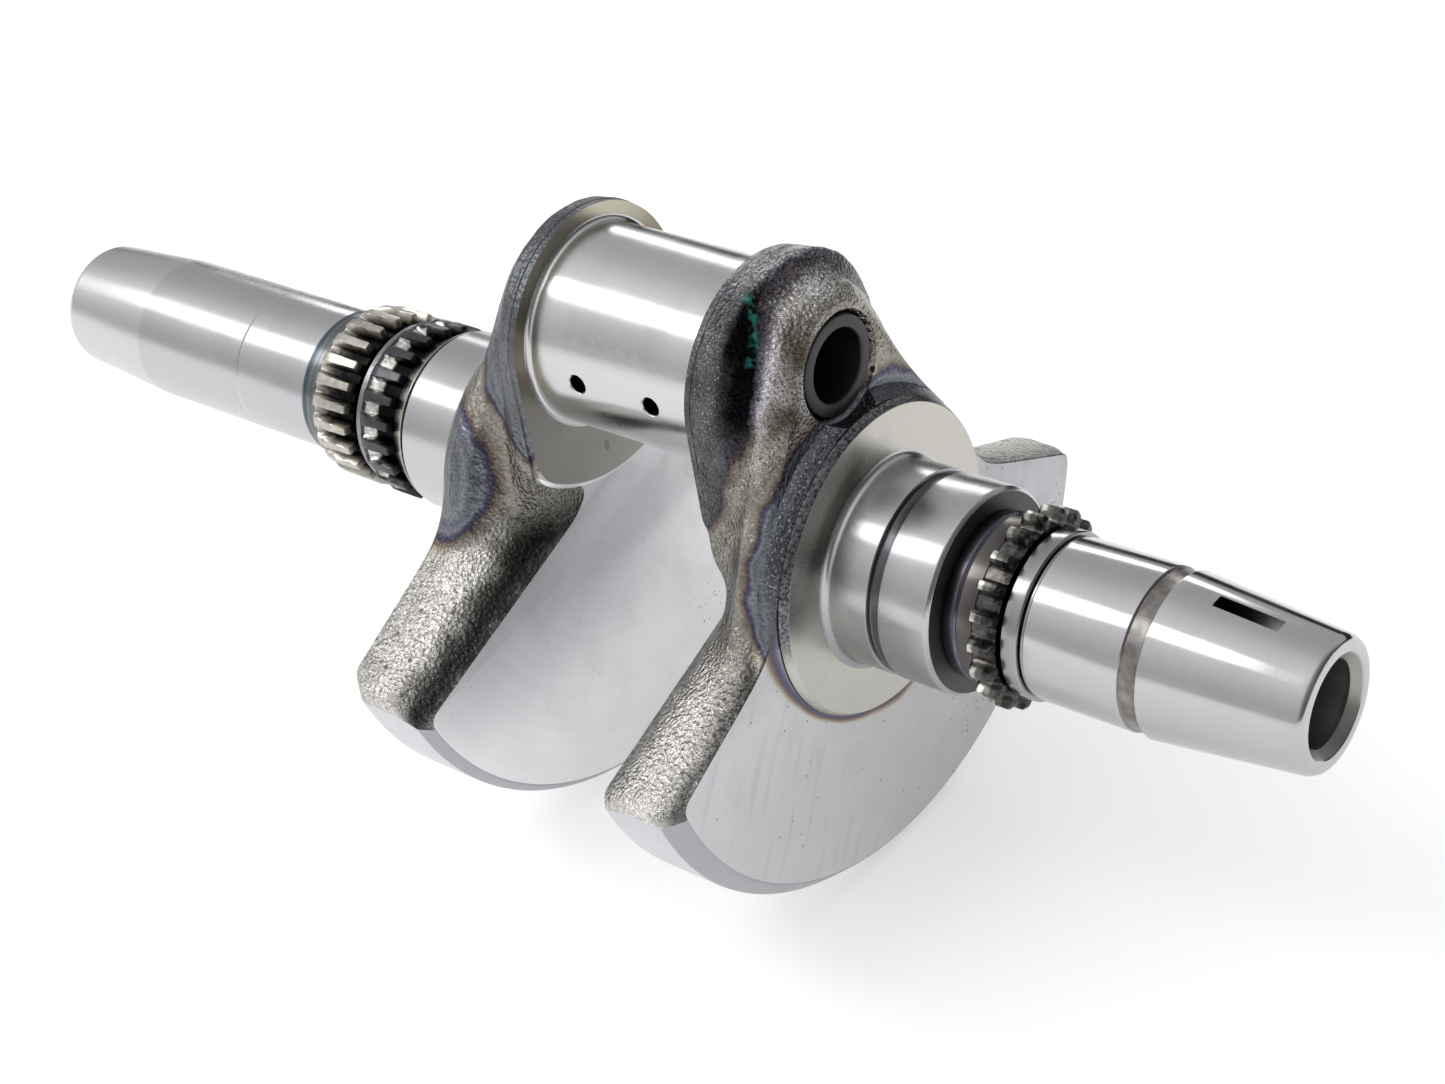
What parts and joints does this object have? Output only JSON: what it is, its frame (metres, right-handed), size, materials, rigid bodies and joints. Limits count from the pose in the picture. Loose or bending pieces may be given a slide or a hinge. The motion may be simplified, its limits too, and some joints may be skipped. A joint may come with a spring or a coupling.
{
  "type": "crankshaft",
  "caption": "Single-throw engine crankshaft with counterweighted webs, a hollow crankpin, ground journals, toothed drive rings and tapered ends, one of them keyed.",
  "frame": {"origin": "under the middle of the crankshaft's length, at the bottom of the counterweight rims", "axes": "+X along the main axis towards the keyed end, +Z from the main axis towards the crankpin"},
  "size_m": [0.334, 0.1382, 0.1351],
  "materials": {
    "ground_steel": "ground bright",
    "machined_steel": "fine turned, satin",
    "forged_steel": "shot-blasted forging with machined faces",
    "tinted_steel": "heat-tinted blue grey",
    "dark_steel": "dark, oiled",
    "tooth_steel": "cut teeth, satin"
  },
  "bodies": {
    "root": {"left_stub_shaft": "ground_steel", "left_shoulder_ring": "ground_steel", "left_main_journal": "ground_steel", "crankpin": "ground_steel", "right_main_journal": "ground_steel", "right_locating_collar": "ground_steel", "right_retaining_ring": "ground_steel", "right_stub_shaft": "ground_steel", "left_thrust_ring": "machined_steel", "left_pin_thrust_plate": "machined_steel", "right_pin_thrust_plate": "machined_steel", "right_thrust_ring": "machined_steel", "left_web": "forged_steel", "right_web": "forged_steel", "left_tinted_collar": "tinted_steel", "right_step_collar": "tinted_steel", "left_spacer_ring": "dark_steel", "left_inner_sprocket": "dark_steel", "pin_plug": "dark_steel", "right_sprocket": "dark_steel", "right_spacer_ring": "dark_steel", "left_outer_sprocket": "tooth_steel"}
  },
  "joints": []
}
